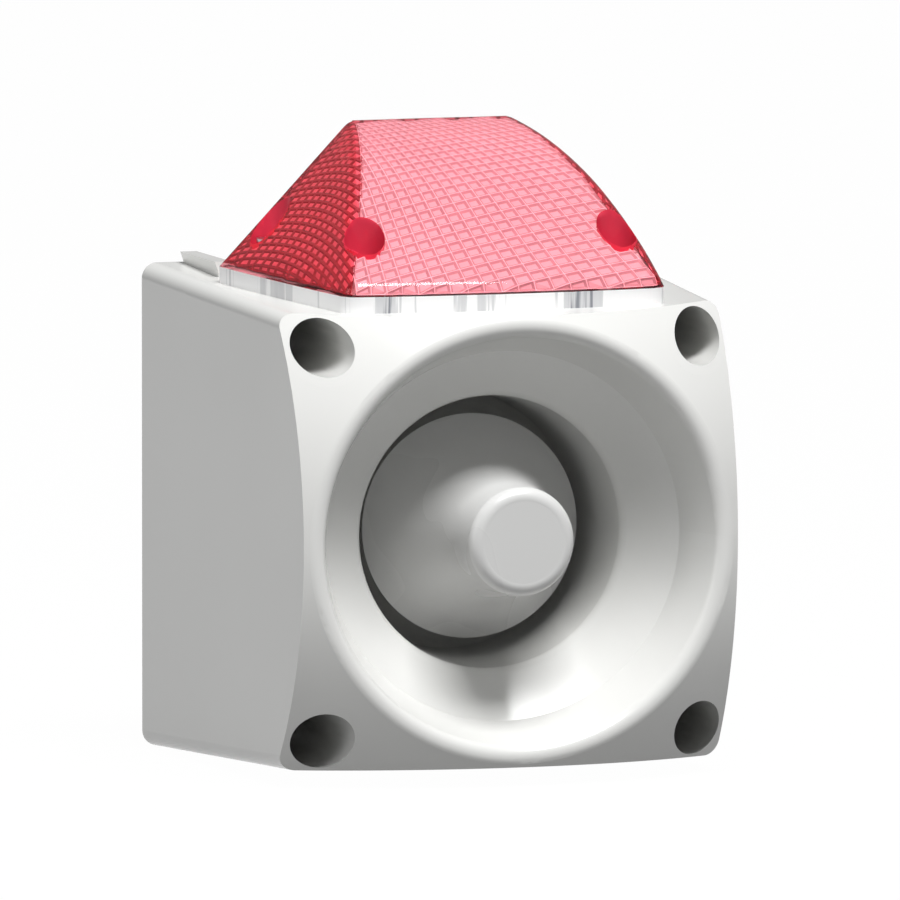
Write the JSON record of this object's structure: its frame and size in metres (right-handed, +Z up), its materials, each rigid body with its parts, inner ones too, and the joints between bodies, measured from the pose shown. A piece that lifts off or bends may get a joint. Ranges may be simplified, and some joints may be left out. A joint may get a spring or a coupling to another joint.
{
  "type": "wall siren with light",
  "caption": "Square wall-mounted alarm siren with a folded round horn in its domed front and a red prism-lensed light on top.",
  "frame": {"origin": "centre of the flat rear face that lies on the wall", "axes": "+X to the right seen from the front, +Y towards the wall, +Z up; the horn faces -Y"},
  "size_m": [0.135, 0.128, 0.1742],
  "materials": {
    "housing": "light grey moulded ABS, slightly glossy",
    "cone": "light grey moulded ABS, slightly glossy",
    "lens_red": "transparent red polycarbonate with moulded prisms inside",
    "clear": "clear polycarbonate",
    "steel": "stainless steel",
    "zinc": "zinc plated steel",
    "brass": "turned brass",
    "seal": "black silicone rubber",
    "abs_black": "black moulded plastic",
    "ferrite": "dark sintered ferrite",
    "film": "amber film",
    "winding": "enamelled copper wire",
    "seal_pale": "translucent white silicone rubber",
    "board": "green solder mask",
    "board_white": "white solder mask",
    "terminal": "green moulded plastic",
    "switch_body": "blue moulded plastic",
    "dial": "white moulded plastic",
    "can": "bare aluminium can",
    "lamp": "clear resin over a pale phosphor"
  },
  "bodies": {
    "housing": {"wall_base": "housing", "screw_inserts": "brass", "front_cover": "housing", "horn_pot": "housing", "well_sleeves": "housing", "cover_gasket": "seal", "cover_screws": "steel", "reflector_cone": "cone", "nose_cap": "cone", "throat_tube": "abs_black", "surround": "film", "driver_frame": "abs_black", "driver_top_plate": "zinc", "driver_magnet": "ferrite", "driver_yoke": "zinc", "driver_screws": "steel", "main_board": "board", "board_screws": "steel", "terminal_block": "terminal", "terminal_screws": "zinc", "tone_switch": "switch_body", "volume_control": "switch_body", "capacitors": "can", "control_chips": "abs_black", "blanking_plug": "abs_black", "plug_seal": "seal", "lens": "lens_red", "lens_base": "clear", "lens_gasket": "seal_pale", "lens_screws": "steel", "light_board": "board_white", "light_board_screws": "steel", "lamps": "lamp"},
    "voice": {"diaphragm": "film", "voice_coil": "winding"},
    "tone_selector": {"tone_dial": "dial"},
    "volume_selector": {"volume_dial": "dial"}
  },
  "joints": [
    {"name": "diaphragm_travel", "type": "slide", "parent": "housing", "child": "voice", "axis": [0, -1, 0], "range_m": [-0.0004, 0.0004], "stiffness_N_per_m": 300},
    {"name": "tone_turn", "type": "hinge", "parent": "housing", "child": "tone_selector", "pos_m": [-0.033, -0.018, 0.006], "axis": [0, -1, 0], "range_deg": [-150, 150]},
    {"name": "volume_turn", "type": "hinge", "parent": "housing", "child": "volume_selector", "pos_m": [0.033, -0.018, 0.006], "axis": [0, -1, 0], "range_deg": [-150, 150]}
  ]
}
